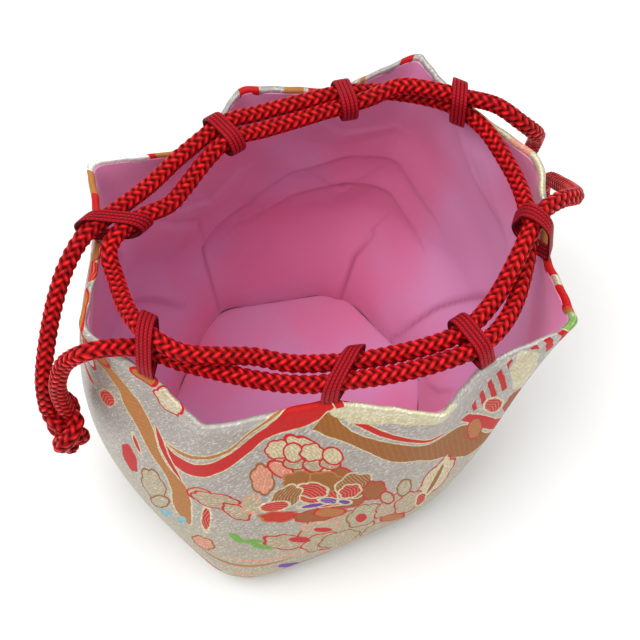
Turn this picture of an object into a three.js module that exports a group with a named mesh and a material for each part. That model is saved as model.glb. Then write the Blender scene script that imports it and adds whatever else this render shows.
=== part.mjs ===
// Kinchaku drawstring pouch: a hexagonal stiffened base, a brocade wall with a cotton lining,
// eight woven loops round the mouth and two opposed drawstrings, each ended in a knot.
// Millimetres, +Z up, the table is z = 0 and the origin is under the middle of the base.
import * as THREE from 'three';

// ---------- driving dimensions ----------
const base = {
  centre: [0, -3],
  corners: [[-30, 40], [18, 47], [47, 12], [40, -35], [-18, -58], [-48, -11]], // inside floor
  rounding: 0.2, // share of each side that a corner rounds off
  clothOut: 4, // brocade bottom beyond the inside floor
  boardOut: 2,
  clothTop: 0.9,
  boardBottom: 1.2,
  boardTop: 3.1,
  floorBottom: 3.4,
  floorTop: 4,
};
const rim = {
  centre: [12, 0],
  valleyHeight: 111, // where a loop is sewn in and pulls the rim inwards
  cornerHeight: 114, // where the rim stands out between two loops
  valleys: [[-54, 5], [-25, 35], [18, 57], [55, 53], [77, -7], [56, -43], [13, -53], [-37, -44]],
  corners: [[-59, 29], [-13, 57], [44, 69], [79, 25], [83, -32], [43, -60], [-22, -62], [-57, -30]],
  rounding: 0.14,
  foldFade: 4, // how fast the folds of the rim die out below it
};
const wall = {
  thickness: 1.4,
  bottom: 1.2,
  footOut: 4.2, // outer foot of the wall beyond the inside floor
  belly: 9.5, // how far the cloth puffs out just above the base
  bellyLean: 4, // extra puff towards the hanging knot on the left
  bellyAngle: -25,
  bellyShare: 0.05, // height share over which the belly forms
  side: 3, // how far the middle of the wall bows out
  sideStretch: 5,
  sideAngle: 20,
  columns: 80,
  rows: [0, 0.04, 0.1, 0.2, 0.35, 0.52, 0.7, 0.86, 1],
};
const lining = { thickness: 0.6, gap: 0.5, below: 1.5, flatShare: 0.35 };
const cord = { diameter: 5, sides: 10, steps: 76 };
const tab = {
  width: 5, thickness: 1, clearance: 0.75, pinch: 0.4, inFromRim: 1,
  liftOverRim: 2.1, leanAtCords: 0.35, reachAlong: 1, arcSteps: 4,
};
const knot = { radius: 9, flatness: 0.9, height: 19, sides: 20 };

// Drawstring routes: out of the knot, over the rim, once round the mouth and back to the knot.
const leftRoute = [
  [-71.5, -37, 77], [-71, -32.5, 89], [-68.5, -24.5, 99.5], [-65, -15.5, 108.5], [-61, -7.5, 114.5],
  [-55.5, 0.5, 117.6], [-47.3, 9.2, 116.3], [-39, 18.5, 114.5], [-29.5, 29.5, 114.6], [-17, 39.7, 116.3],
  [-7, 44.5, 114.5], [4, 48, 114.3], [19, 51.3, 115], [32, 53, 113], [45, 50, 113.2],
  [54.5, 44.5, 114.2], [61.5, 37, 114], [66, 27.5, 114], [70, 15, 114.5], [71.3, 3, 115.5],
  [70.3, -8, 114.6], [66, -22, 113], [60.5, -32, 114], [53, -39, 115], [43, -43, 114.8],
  [31, -46, 114.5], [18.5, -48, 115], [7, -48.5, 114], [-5, -46.5, 112.8], [-17.5, -43, 112.3],
  [-28, -40, 113], [-38, -36.5, 114.5], [-46, -37, 116.5], [-53.5, -38.5, 117],
  [-60.5, -37.5, 109.5], [-64.5, -37.5, 99], [-66, -37, 88], [-65.5, -37, 77],
];
const rightRoute = [
  [79, 52.5, 69], [80.5, 51, 82], [81, 47.5, 95], [78.5, 41, 106], [73, 39, 114],
  [65, 41.5, 119.3], [55, 44.5, 120], [46, 48, 119.5], [36.5, 50.3, 118.6], [26.5, 47.3, 116.5],
  [15, 45.5, 114], [4, 42, 113.5], [-6, 38.3, 114], [-15.5, 33.8, 116], [-22, 28.2, 114],
  [-28, 20, 112.5], [-33, 12.5, 113], [-40.5, 7, 115.2], [-46.8, 1, 116.2], [-49.5, -5, 115],
  [-47.5, -12, 113], [-43, -25, 117.2], [-37, -34.5, 120.5], [-28, -40, 119], [-18, -41, 117.8],
  [-8, -40, 115], [3, -42, 114], [18.5, -42.3, 115], [31, -40.2, 114.8], [43.5, -37, 115.3],
  [51.5, -32.8, 115.6], [59, -24.5, 116], [64.5, -16, 118.3], [69.5, -7, 120.7],
  [74.5, 1, 121.4], [80.5, 6.5, 119], [86.5, 12.5, 112], [88, 22, 101.5], [87.5, 32, 91],
  [86.5, 41, 81], [85, 46, 69],
];
const loops = [ // the far side of each tab over the two cords, and where it's sewn to the rim
  { head: [-45, 4.5], foot: [-54, 4.5] },
  { head: [-16.5, 36], foot: [-21, 41] },
  { head: [20, 49], foot: [18, 57] },
  { head: [54.5, 44.5], foot: [55.5, 52.5] },
  { head: [71, -1], foot: [77, -7] },
  { head: [51.5, -36.3], foot: [56, -43] },
  { head: [18.5, -45], foot: [13, -53] },
  { head: [-37.5, -35], foot: [-38, -43.5] },
];
const knots = {
  left: { place: [-67.5, -37.5, 67], facing: 200 },
  right: { place: [82, 49.5, 59], facing: 35 },
};

// ---------- outlines ----------
// A closed polygon whose corners are rounded by a quadratic curve; u runs one unit per side.
function roundedPolygon(points, u, rounding) {
  const count = points.length;
  const at = (index) => points[((index % count) + count) % count];
  const mix = (a, b, t) => a.map((value, axis) => value + (b[axis] - value) * t);
  const corner = Math.round(u);
  const offset = u - corner;
  if (Math.abs(offset) >= rounding) {
    const side = Math.floor(u);
    return mix(at(side), at(side + 1), u - side);
  }
  const t = (offset + rounding) / (2 * rounding);
  const start = mix(at(corner), at(corner - 1), rounding);
  const end = mix(at(corner), at(corner + 1), rounding);
  return mix(mix(start, at(corner), t), mix(at(corner), end, t), t);
}

// Distance from the base centre to the inside floor's outline, in the direction of an angle.
function floorRadius(angle) {
  const direction = [Math.cos(angle), Math.sin(angle)];
  const samples = 720;
  let previous = null;
  for (let i = 0; i <= samples; i += 1) {
    const point = roundedPolygon(base.corners, (i / samples) * base.corners.length, base.rounding);
    const x = point[0] - base.centre[0];
    const y = point[1] - base.centre[1];
    const along = x * direction[0] + y * direction[1];
    const across = direction[0] * y - direction[1] * x;
    if (previous && previous.across * across <= 0 && along > 0) {
      const t = previous.across / (previous.across - across);
      return previous.along + (along - previous.along) * t;
    }
    previous = { along, across };
  }
  throw new Error('the floor outline must surround the base centre');
}

// One column of the wall for each step round the rim: its direction and its radii.
function rimColumns() {
  const controls = rim.valleys.flatMap((valley, index) => [
    [...valley, rim.valleyHeight],
    [...rim.corners[index], rim.cornerHeight],
  ]);
  const columns = [];
  for (let i = 0; i < wall.columns; i += 1) {
    const point = roundedPolygon(controls, (i / wall.columns) * controls.length, rim.rounding);
    const x = point[0] - rim.centre[0];
    const y = point[1] - rim.centre[1];
    const angle = Math.atan2(y, x);
    columns.push({ angle, radius: Math.hypot(x, y), height: point[2], floor: floorRadius(angle) });
  }
  const reach = wall.columns / rim.valleys.length;
  columns.forEach((column, index) => {
    let sum = 0;
    let weights = 0;
    for (let k = -reach; k <= reach; k += 1) {
      const weight = 0.5 + 0.5 * Math.cos((Math.PI * k) / reach);
      sum += weight * columns[(index + k + wall.columns) % wall.columns].radius;
      weights += weight;
    }
    column.smooth = sum / weights;
  });
  return columns;
}

// A point of the wall's outer face moved inwards by inset; v runs from the base (0) to the rim (1).
function wallPoint(column, v, inset) {
  const { angle, radius, smooth, floor, height } = column;
  const lean = Math.cos(angle - THREE.MathUtils.degToRad(wall.bellyAngle));
  const stretch = Math.cos(angle - THREE.MathUtils.degToRad(wall.sideAngle)) ** 2;
  const belly = (wall.belly - wall.bellyLean * lean) * (1 - Math.exp(-v / wall.bellyShare)) * (1 - v);
  const side = (wall.side + wall.sideStretch * stretch) * Math.sin(Math.PI * v ** 0.9);
  const grow = v ** 1.1;
  const plain = (floor + wall.footOut) * (1 - grow) + smooth * grow;
  const reach = plain + belly + side + (radius - smooth) * v ** rim.foldFade - inset;
  return [
    base.centre[0] * (1 - v) + rim.centre[0] * v + reach * Math.cos(angle),
    base.centre[1] * (1 - v) + rim.centre[1] * v + reach * Math.sin(angle),
    wall.bottom + (height - wall.bottom) * v,
  ];
}

// A point of the lining: it starts upright from the floor and joins the wall's inside higher up.
// Its rows are the wall's, so that the two cloths never cross between rows.
function liningPoint(column, v, inset) {
  const rise = column.height - wall.bottom;
  const low = (base.floorBottom - wall.bottom) / rise;
  const share = Math.min(Math.max(v, low), 1 - lining.below / rise);
  const onWall = wallMeshPoint(column, share, wall.thickness + lining.gap + inset);
  const reach = column.floor + lining.gap + lining.thickness - inset;
  const foot = [
    base.centre[0] + reach * Math.cos(column.angle),
    base.centre[1] + reach * Math.sin(column.angle),
  ];
  const t = Math.min(1, (share - low) / lining.flatShare);
  const blend = t * t * (3 - 2 * t);
  return [...foot.map((value, axis) => value + (onWall[axis] - value) * blend), onWall[2]];
}

// A point of the wall on the straight stretches between its rows, as its mesh really runs.
function wallMeshPoint(column, v, inset) {
  const row = Math.max(1, wall.rows.findIndex((share) => share >= v));
  const [low, high] = [wall.rows[row - 1], wall.rows[row]];
  const from = wallPoint(column, low, inset);
  const to = wallPoint(column, high, inset);
  return from.map((value, axis) => value + ((to[axis] - value) * (v - low)) / (high - low));
}

// ---------- meshes ----------
function indexedGeometry(points, triangles) {
  const geometry = new THREE.BufferGeometry();
  geometry.setAttribute('position', new THREE.Float32BufferAttribute(points.flat(), 3));
  geometry.setIndex(triangles.flat());
  geometry.computeVertexNormals();
  return geometry;
}

// Closed rings joined one to the next and the last to the first: an open-ended thick shell.
// The second half of the rings is the inner face, and its diagonals run like the outer face's.
function shellFromRings(rings) {
  const width = rings[0].length;
  const triangles = [];
  rings.forEach((_, row) => {
    const next = (row + 1) % rings.length;
    const isInner = row >= rings.length / 2;
    for (let i = 0; i < width; i += 1) {
      const j = (i + 1) % width;
      const a = row * width + i;
      const b = row * width + j;
      const c = next * width + j;
      const d = next * width + i;
      if (isInner) triangles.push([a, d, b], [b, d, c]);
      else triangles.push([a, c, b], [a, d, c]);
    }
  });
  return indexedGeometry(rings.flat(), triangles);
}

function shell(columns, pointAt, thickness) {
  const outer = wall.rows.map((v) => columns.map((column) => pointAt(column, v, 0)));
  const inner = wall.rows.map((v) => columns.map((column) => pointAt(column, v, thickness)));
  return shellFromRings([...outer, ...inner.reverse()]);
}

// A flat plate whose outline follows the inside floor, grown outwards.
function basePlate(out, bottom, top) {
  const shape = new THREE.Shape();
  const steps = 60;
  for (let i = 0; i < steps; i += 1) {
    const angle = (i / steps) * 2 * Math.PI;
    const reach = floorRadius(angle) + out;
    const x = base.centre[0] + reach * Math.cos(angle);
    const y = base.centre[1] + reach * Math.sin(angle);
    if (i === 0) shape.moveTo(x, y);
    else shape.lineTo(x, y);
  }
  shape.closePath();
  const geometry = new THREE.ExtrudeGeometry(shape, { depth: top - bottom, bevelEnabled: false });
  geometry.translate(0, 0, bottom);
  return geometry;
}

function curveOf(route) {
  const points = route.map((point) => new THREE.Vector3(...point));
  return new THREE.CatmullRomCurve3(points, false, 'catmullrom', 0.5);
}

function cordGeometry(curve) {
  const section = new THREE.Shape();
  section.absarc(0, 0, cord.diameter / 2, 0, 2 * Math.PI, false);
  return new THREE.ExtrudeGeometry(section, {
    extrudePath: curve, steps: cord.steps, curveSegments: cord.sides / 2, bevelEnabled: false,
  });
}

// The points of a curve near a place on the plan, and its mean direction there.
function stretchNear(curve, place, reach) {
  const points = curve.getSpacedPoints(cord.steps * 8);
  const near = points.filter((point) => Math.hypot(point.x - place[0], point.y - place[1]) < reach);
  const direction = new THREE.Vector2(near.at(-1).x - near[0].x, near.at(-1).y - near[0].y);
  return { near, direction: direction.normalize() };
}

// Convex hull of circles in the plane, counter-clockwise.
function hullOfCircles(circles) {
  const points = [];
  const around = tab.arcSteps * 4;
  circles.forEach(({ x, y, radius }) => {
    for (let i = 0; i < around; i += 1) {
      const angle = (i / around) * 2 * Math.PI;
      points.push([x + radius * Math.cos(angle), y + radius * Math.sin(angle)]);
    }
  });
  points.sort((a, b) => a[0] - b[0] || a[1] - b[1]);
  const turn = (o, a, b) => (a[0] - o[0]) * (b[1] - o[1]) - (a[1] - o[1]) * (b[0] - o[0]);
  const chain = (list) => {
    const stack = [];
    list.forEach((point) => {
      while (stack.length > 1 && turn(stack.at(-2), stack.at(-1), point) <= 1e-6) stack.pop();
      stack.push(point);
    });
    stack.pop();
    return stack;
  };
  return [...chain(points), ...chain(points.reverse())].map(([x, y]) => new THREE.Vector2(x, y));
}

// A woven tab folded over both cords; its two ends meet where the rim pulls in.
function loopGeometry({ head, foot }, curves) {
  const [first, second] = curves.map((curve) => stretchNear(curve, head, tab.width * 1.7));
  const along = first.direction.clone();
  along.addScaledVector(second.direction, Math.sign(along.dot(second.direction))).normalize();
  const toFoot = new THREE.Vector2(foot[0] - head[0], foot[1] - head[1]);
  const inward = new THREE.Vector2(-along.y, along.x);
  if (inward.dot(toFoot) > 0) inward.negate();
  const across = new THREE.Vector2(-inward.y, inward.x);
  const lean = toFoot.dot(across);
  const circles = [];
  [...first.near, ...second.near].forEach((point) => {
    const offset = new THREE.Vector2(point.x - head[0], point.y - head[1]);
    const q = offset.dot(across) - lean * tab.leanAtCords;
    if (Math.abs(q) > tab.width * tab.reachAlong) return;
    circles.push({ x: offset.dot(inward), y: point.z, radius: cord.diameter / 2 + tab.clearance });
  });
  const end = {
    x: toFoot.dot(inward) + tab.inFromRim,
    y: rim.valleyHeight + tab.liftOverRim + tab.thickness + tab.pinch,
    radius: tab.pinch,
  };
  const inside = [...circles, end];
  const outside = inside.map(({ x, y, radius }) => ({ x, y, radius: radius + tab.thickness }));
  const shape = new THREE.Shape(hullOfCircles(outside));
  shape.holes.push(new THREE.Path(hullOfCircles(inside).reverse()));
  const geometry = new THREE.ExtrudeGeometry(shape, { depth: tab.width, bevelEnabled: false });
  const position = geometry.getAttribute('position');
  const far = Math.max(...circles.map(({ x }) => x));
  for (let i = 0; i < position.count; i += 1) {
    const p = position.getX(i);
    const height = position.getY(i);
    const q = position.getZ(i) - tab.width / 2 + (lean * (far - p)) / (far - end.x);
    position.setXYZ(
      i,
      head[0] + inward.x * p + across.x * q,
      head[1] + inward.y * p + across.y * q,
      height,
    );
  }
  flipFaces(geometry);
  geometry.computeVertexNormals();
  return geometry;
}

function flipFaces(geometry) {
  const position = geometry.getAttribute('position');
  for (let i = 0; i < position.count; i += 3) {
    const a = new THREE.Vector3().fromBufferAttribute(position, i);
    const b = new THREE.Vector3().fromBufferAttribute(position, i + 1);
    position.setXYZ(i, b.x, b.y, b.z);
    position.setXYZ(i + 1, a.x, a.y, a.z);
  }
}

// The knot's outer shape: round above, drawn in to the trimmed ends below.
function knotGeometry(facing) {
  const { radius, height } = knot;
  const profile = [
    [0, -0.55 * height], [0.22 * radius, -0.53 * height], [0.5 * radius, -0.42 * height],
    [0.85 * radius, -0.2 * height], [radius, 0.05 * height], [0.9 * radius, 0.25 * height],
    [0.6 * radius, 0.4 * height], [0, 0.45 * height],
  ].map(([x, y]) => new THREE.Vector2(x, y));
  const geometry = new THREE.LatheGeometry(profile, knot.sides);
  geometry.rotateX(Math.PI / 2);
  geometry.scale(knot.flatness, 1, 1);
  geometry.rotateZ(THREE.MathUtils.degToRad(facing));
  return geometry;
}

// ---------- the pouch ----------
const cloth = {
  brocade: { color: 0xcdbfae, roughness: 0.45, metalness: 0.25 },
  lining: { color: 0xc8699a, roughness: 0.8, metalness: 0 },
  board: { color: 0xb9a88a, roughness: 0.95, metalness: 0 },
  tab: { color: 0x8f1226, roughness: 0.75, metalness: 0 },
  cord: { color: 0xb20d16, roughness: 0.5, metalness: 0 },
};
const pouch = new THREE.Group();

function addPiece(name, geometry, finish, place = [0, 0, 0]) {
  const mesh = new THREE.Mesh(geometry, new THREE.MeshStandardMaterial(cloth[finish]));
  mesh.name = name;
  mesh.position.set(...place);
  pouch.add(mesh);
}

const columns = rimColumns();
addPiece('outer_wall', shell(columns, wallPoint, wall.thickness), 'brocade');
addPiece('lining_wall', shell(columns, liningPoint, lining.thickness), 'lining');
addPiece('base_cloth', basePlate(base.clothOut, 0, base.clothTop), 'brocade');
addPiece('base_board', basePlate(base.boardOut, base.boardBottom, base.boardTop), 'board');
addPiece('lining_floor', basePlate(0, base.floorBottom, base.floorTop), 'lining');

const curves = { left: curveOf(leftRoute), right: curveOf(rightRoute) };
loops.forEach((loop, index) => {
  addPiece(`loop_${index + 1}`, loopGeometry(loop, [curves.left, curves.right]), 'tab');
});
['left', 'right'].forEach((side) => {
  addPiece(`drawstring_${side}`, cordGeometry(curves[side]), 'cord');
  addPiece(`knot_${side}`, knotGeometry(knots[side].facing), 'cord', knots[side].place);
});

export default pouch;
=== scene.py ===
import math
import bpy
import numpy as np
from mathutils import Matrix, Vector


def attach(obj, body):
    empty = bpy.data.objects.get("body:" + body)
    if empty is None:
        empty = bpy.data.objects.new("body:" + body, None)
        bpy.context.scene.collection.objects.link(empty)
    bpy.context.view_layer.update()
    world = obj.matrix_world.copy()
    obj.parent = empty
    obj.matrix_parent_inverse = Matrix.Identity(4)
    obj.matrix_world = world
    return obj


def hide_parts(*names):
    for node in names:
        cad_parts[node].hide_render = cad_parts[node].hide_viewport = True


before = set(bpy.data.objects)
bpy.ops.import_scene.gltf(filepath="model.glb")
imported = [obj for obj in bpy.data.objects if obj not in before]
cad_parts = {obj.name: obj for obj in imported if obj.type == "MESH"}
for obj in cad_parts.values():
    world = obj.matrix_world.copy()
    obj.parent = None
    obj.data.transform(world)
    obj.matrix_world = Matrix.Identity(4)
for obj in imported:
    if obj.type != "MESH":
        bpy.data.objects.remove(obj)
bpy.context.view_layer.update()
scene = bpy.context.scene
print("frame loaded")

# camera; its place and tilt are the result of a fit to the photo
view = {
    "place": (0.0104, -0.2085, 0.4267),
    "lookDown": 60.07,  # degrees below level, along +Y
    "roll": -1.5,
    "lens": 73.1,
    "sensor": 36,
}
camera = bpy.data.objects.new("camera", bpy.data.cameras.new("camera"))
scene.collection.objects.link(camera)
camera.data.lens = view["lens"]
camera.data.sensor_width = view["sensor"]
camera.data.clip_start = 0.01
camera.matrix_world = (
    Matrix.Translation(view["place"])
    @ Matrix.Rotation(math.radians(90 - view["lookDown"]), 4, "X")
    @ Matrix.Rotation(math.radians(view["roll"]), 4, "Z")
)
scene.camera = camera


# mesh helpers
def gridFaces(rows, columns, closeRows=False):
    # quads of a grid whose points are stored row after row; normals face away from rows x columns
    r = np.arange(rows if closeRows else rows - 1)[:, None]
    c = np.arange(columns)[None, :]
    rNext, cNext = (r + 1) % rows, (c + 1) % columns
    quads = [r * columns + c, rNext * columns + c, rNext * columns + cNext, r * columns + cNext]
    return np.stack([np.broadcast_to(q, (r.size, c.size)) for q in quads], axis=-1).reshape(-1, 4)


def gridUv(uAt, vAt, rows, columns, closeRows=False):
    # uAt has one value more than the columns, so the last quad of a closed row doesn't run back
    r = np.arange(rows if closeRows else rows - 1)[:, None]
    c = np.arange(columns)[None, :]
    corners = [(r, c), (r + 1, c), (r + 1, c + 1), (r, c + 1)]
    both = [np.stack(np.broadcast_arrays(uAt[j + 0 * i], vAt[i + 0 * j]), axis=-1) for i, j in corners]
    return np.stack(both, axis=2).reshape(-1, 2)


def addPiece(name, points, faces, material, uv=None, values=None, smooth=True):
    mesh = bpy.data.meshes.new(name)
    mesh.from_pydata(np.reshape(points, (-1, 3)), [], faces if isinstance(faces, list) else faces.tolist())
    mesh.materials.append(material)
    mesh.polygons.foreach_set("use_smooth", np.full(len(mesh.polygons), smooth))
    if uv is not None:
        mesh.uv_layers.new(name="UVMap").data.foreach_set("uv", np.ravel(uv).astype(np.float32))
    for key, data in (values or {}).items():
        attribute = mesh.attributes.new(key, "FLOAT", "POINT")
        attribute.data.foreach_set("value", np.ravel(data).astype(np.float32))
    mesh.update()
    piece = bpy.data.objects.new(name, mesh)
    scene.collection.objects.link(piece)
    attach(piece, "root")
    return piece


def smoothstep(x):
    t = np.clip(x, 0, 1)
    return t * t * (3 - 2 * t)


# shader helpers
def newMaterial(name):
    material = bpy.data.materials.new(name)
    material.use_nodes = True
    shader = material.node_tree.nodes["Principled BSDF"]
    return material, material.node_tree, shader


def addNode(tree, kind, inputs=None, **settings):
    node = tree.nodes.new(kind)
    for key, value in settings.items():
        setattr(node, key, value)
    for key, value in (inputs or {}).items():
        if isinstance(value, bpy.types.NodeSocket):
            tree.links.new(value, node.inputs[key])
        else:
            node.inputs[key].default_value = value
    return node


def maths(tree, operation, a, b=0.0, c=0.0):
    inputs = {0: a, 1: b}
    if operation == "MULTIPLY_ADD":
        inputs[2] = c
    return addNode(tree, "ShaderNodeMath", inputs, operation=operation).outputs[0]


def mixColor(tree, factor, a, b):
    node = addNode(tree, "ShaderNodeMix", {"Factor": factor}, data_type="RGBA")
    for socket, value in ((node.inputs[6], a), (node.inputs[7], b)):
        if isinstance(value, bpy.types.NodeSocket):
            tree.links.new(value, socket)
        else:
            socket.default_value = (*value, 1)
    return node.outputs[2]


def ramp(tree, factor, low, high, toLow=0.0, toHigh=1.0, kind="SMOOTHSTEP"):
    inputs = {"Value": factor, "From Min": low, "From Max": high, "To Min": toLow, "To Max": toHigh}
    return addNode(tree, "ShaderNodeMapRange", inputs, interpolation_type=kind).outputs[0]


# cord braid
cordLook = {
    "diameter": 0.005,
    "strands": 4,  # in each direction
    "pitch": 0.0027,  # length of one bump
    "depth": 0.0009,  # of the gaps between bumps
    "around": 40,
    "step": 0.00028,
    # the gap colour is painted shade in the hollows between the bumps; the crown colour is a painted
    # highlight on the bump tops
    "gap": (0.02, 0.0003, 0.0012),
    "body": (0.30, 0.0012, 0.004),
    "crownHighlight": (0.80, 0.012, 0.014),
}


def braidMaterial():
    material, tree, shader = newMaterial("silkyRedBraid")
    relief = addNode(tree, "ShaderNodeAttribute", attribute_name="relief").outputs["Fac"]
    uv = addNode(tree, "ShaderNodeUVMap", uv_map="UVMap").outputs[0]
    split = addNode(tree, "ShaderNodeSeparateXYZ", {0: uv})
    lean = addNode(tree, "ShaderNodeAttribute", attribute_name="lean").outputs["Fac"]
    fibre = maths(tree, "SINE", maths(tree, "MULTIPLY", lean, 30.0))
    noise = addNode(tree, "ShaderNodeTexNoise", {"Vector": uv, "Scale": 900.0, "Detail": 3.0}).outputs[0]
    # painted shade and highlight: near-black red in the gaps between bumps, body red on their sides, the
    # light crown colour painted on their tops as a highlight
    body = mixColor(tree, ramp(tree, relief, 0.3, 0.7), cordLook["gap"], cordLook["body"])
    crownHighlight = mixColor(tree, ramp(tree, relief, 0.72, 0.97), body, cordLook["crownHighlight"])
    shade = mixColor(tree, ramp(tree, noise, 0.35, 0.7, 0.0, 0.35), crownHighlight, cordLook["body"])
    strand = maths(tree, "FLOOR", maths(tree, "ADD", lean, 0.5))
    random = addNode(tree, "ShaderNodeTexWhiteNoise", {"W": strand}, noise_dimensions="1D").outputs[0]
    tone = ramp(tree, random, 0.0, 1.0, 0.7, 1.3, "LINEAR")
    toned = addNode(tree, "ShaderNodeVectorMath", {0: shade, "Scale": tone}, operation="SCALE").outputs[0]
    tree.links.new(toned, shader.inputs["Base Color"])
    height = maths(tree, "MULTIPLY_ADD", fibre, 0.3, noise)
    bump = addNode(tree, "ShaderNodeBump", {"Height": height, "Strength": 0.35, "Distance": 0.00008})
    tree.links.new(bump.outputs[0], shader.inputs["Normal"])
    tree.links.new(ramp(tree, relief, 0.5, 0.9, 0.85, 0.3), shader.inputs["Roughness"])
    shader.inputs["Specular IOR Level"].default_value = 0.35
    shader.inputs["Specular Tint"].default_value = (1.0, 0.3, 0.25, 1)
    return material


def smoothRoute(points, step):
    # a uniform Catmull-Rom curve through the points, then even steps along its length
    p = np.array(points, float)
    p = np.vstack([2 * p[0] - p[1], p, 2 * p[-1] - p[-2]])
    span = np.arange(len(p) - 3)[:, None, None]
    t = np.linspace(0, 1, 40, endpoint=False)[None, :, None]
    a, b, c, d = (p[span[:, 0, 0] + k][:, None, :] for k in range(4))
    fine = 0.5 * (2 * b + (c - a) * t + (2 * a - 5 * b + 4 * c - d) * t**2 + (3 * b - a - 3 * c + d) * t**3)
    fine = np.vstack([fine.reshape(-1, 3), p[-2]])
    along = np.concatenate([[0], np.cumsum(np.linalg.norm(np.diff(fine, axis=0), axis=1))])
    even = np.linspace(0, along[-1], int(along[-1] / step) + 1)
    return np.stack([np.interp(even, along, fine[:, k]) for k in range(3)], axis=1), even


def braidTube(path, along, hub):
    # two sets of strands, 4 angle + k length and 4 angle - k length; each set lies on top in its own
    # columns round the tube, which gives leaning bumps in staggered rows
    tangent = np.gradient(path, axis=0)
    tangent /= np.linalg.norm(tangent, axis=1, keepdims=True)
    out = path - np.array(hub)
    out -= tangent * np.sum(out * tangent, axis=1, keepdims=True)
    out /= np.linalg.norm(out, axis=1, keepdims=True)
    side = np.cross(tangent, out)
    angle = np.linspace(0, 2 * np.pi, cordLook["around"], endpoint=False)
    n, k = cordLook["strands"], 2 * np.pi / cordLook["pitch"]
    first = n * angle[None, :] + k * along[:, None]
    second = n * angle[None, :] - k * along[:, None]
    over = 0.5 + 0.5 * np.cos(n * angle)[None, :]
    ridge = lambda phase: np.abs(np.cos(phase / 2)) ** 0.8
    a = ridge(first) * over**0.5
    b = ridge(second) * (1 - over) ** 0.5
    relief = np.maximum(a, b)
    lean = np.where(a > b, second, first) / (2 * np.pi)
    fromEnd = np.minimum(along, along[-1] - along) / (cordLook["diameter"] / 2)
    close = np.sqrt(1 - (1 - np.clip(fromEnd, 0, 1)) ** 2)[:, None]
    radius = close * (cordLook["diameter"] / 2 + cordLook["depth"] * (relief - 0.75))
    ring = out[:, None] * np.cos(angle)[None, :, None] + side[:, None] * np.sin(angle)[None, :, None]
    points = path[:, None] + ring * radius[..., None]
    rows, columns = radius.shape
    uv = gridUv(np.arange(columns + 1) / columns * np.pi * cordLook["diameter"], along, rows, columns)
    return points, gridFaces(rows, columns)[:, ::-1], uv, {"relief": relief, "lean": lean}


# drawstring routes: out of the knot, over the rim, once round the mouth and back to the knot
leftRoute = [
    (-0.0715, -0.037, 0.077), (-0.071, -0.0325, 0.089), (-0.0685, -0.0245, 0.0995),
    (-0.065, -0.0155, 0.1085), (-0.061, -0.0075, 0.1145), (-0.0555, 0.0005, 0.1176),
    (-0.0473, 0.0092, 0.1163), (-0.039, 0.0185, 0.1145), (-0.0295, 0.0295, 0.1146),
    (-0.017, 0.0397, 0.1163), (-0.007, 0.0445, 0.1145), (0.004, 0.048, 0.1143),
    (0.019, 0.0513, 0.115), (0.032, 0.053, 0.113), (0.045, 0.05, 0.1132), (0.0545, 0.0445, 0.1142),
    (0.0615, 0.037, 0.114), (0.066, 0.0275, 0.114), (0.07, 0.015, 0.1145), (0.0713, 0.003, 0.1155),
    (0.0703, -0.008, 0.1146), (0.066, -0.022, 0.113), (0.0605, -0.032, 0.114),
    (0.053, -0.039, 0.115), (0.043, -0.043, 0.1148), (0.031, -0.046, 0.1145),
    (0.0185, -0.048, 0.115), (0.007, -0.0485, 0.114), (-0.005, -0.0465, 0.1128),
    (-0.0175, -0.043, 0.1123), (-0.028, -0.04, 0.113), (-0.038, -0.0365, 0.1145),
    (-0.046, -0.037, 0.1165), (-0.0535, -0.0385, 0.117), (-0.0605, -0.0375, 0.1095),
    (-0.0645, -0.0375, 0.099), (-0.066, -0.037, 0.088), (-0.0655, -0.037, 0.077),
]
rightRoute = [
    (0.079, 0.0525, 0.069), (0.0805, 0.051, 0.082), (0.081, 0.0475, 0.095), (0.0785, 0.041, 0.106),
    (0.073, 0.039, 0.114), (0.065, 0.0415, 0.1193), (0.055, 0.0445, 0.12), (0.046, 0.048, 0.1195),
    (0.0365, 0.0503, 0.1186), (0.0265, 0.0473, 0.1165), (0.015, 0.0455, 0.114),
    (0.004, 0.042, 0.1135), (-0.006, 0.0383, 0.114), (-0.0155, 0.0338, 0.116),
    (-0.022, 0.0282, 0.114), (-0.028, 0.02, 0.1125), (-0.033, 0.0125, 0.113),
    (-0.0405, 0.007, 0.1152), (-0.0468, 0.001, 0.1162), (-0.0495, -0.005, 0.115),
    (-0.0475, -0.012, 0.113),
    (-0.043, -0.025, 0.1172), (-0.037, -0.0345, 0.1205), (-0.028, -0.04, 0.119),
    (-0.018, -0.041, 0.1178), (-0.008, -0.04, 0.115), (0.003, -0.042, 0.114),
    (0.0185, -0.0423, 0.115), (0.031, -0.0402, 0.1148), (0.0435, -0.037, 0.1153),
    (0.0515, -0.0328, 0.1156), (0.059, -0.0245, 0.116), (0.0645, -0.016, 0.1183),
    (0.0695, -0.007, 0.1207), (0.0745, 0.001, 0.1214), (0.0805, 0.0065, 0.119),
    (0.0865, 0.0125, 0.112), (0.088, 0.022, 0.1015), (0.0875, 0.032, 0.091), (0.0865, 0.041, 0.081),
    (0.085, 0.046, 0.069),
]
knots = {
    "left": {"place": (-0.0675, -0.0375, 0.067), "facing": 200},
    "right": {"place": (0.082, 0.0495, 0.059), "facing": 35},
}
knotShape = {
    "lobe": 0.0026,
    "deep": 0.0032,
    "lift": 0.0035,
    "tailDown": 0.0115,
}
redBraid = braidMaterial()


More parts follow.
